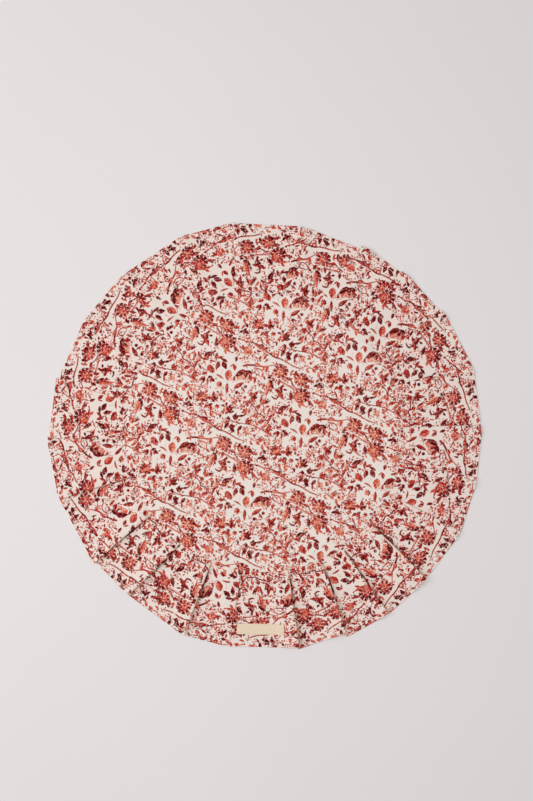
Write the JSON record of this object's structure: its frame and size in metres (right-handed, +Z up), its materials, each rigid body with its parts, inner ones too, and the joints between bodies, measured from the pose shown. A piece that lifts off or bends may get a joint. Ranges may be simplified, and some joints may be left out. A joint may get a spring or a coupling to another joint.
{
  "type": "round placemat with a pleated frill",
  "caption": "Round cotton placemat lying flat: a printed centre panel edged with a frill of pressed knife pleats, and a small bare sewn label.",
  "frame": {"origin": "on the table under the middle of the mat's outline", "axes": "+Z up from the table, +Y away from the label, +X to the right with the label nearest"},
  "size_m": [0.4352, 0.426, 0.0068],
  "materials": {
    "printed_cotton": "cream plain-weave cotton with a brick red, maroon and coral print of small flowers, leaves and trailing branches; matt",
    "label_tape": "beige woven tape, bare, matt"
  },
  "bodies": {
    "root": {"centre_panel": "printed_cotton", "frill": "printed_cotton", "label": "label_tape"}
  },
  "joints": []
}
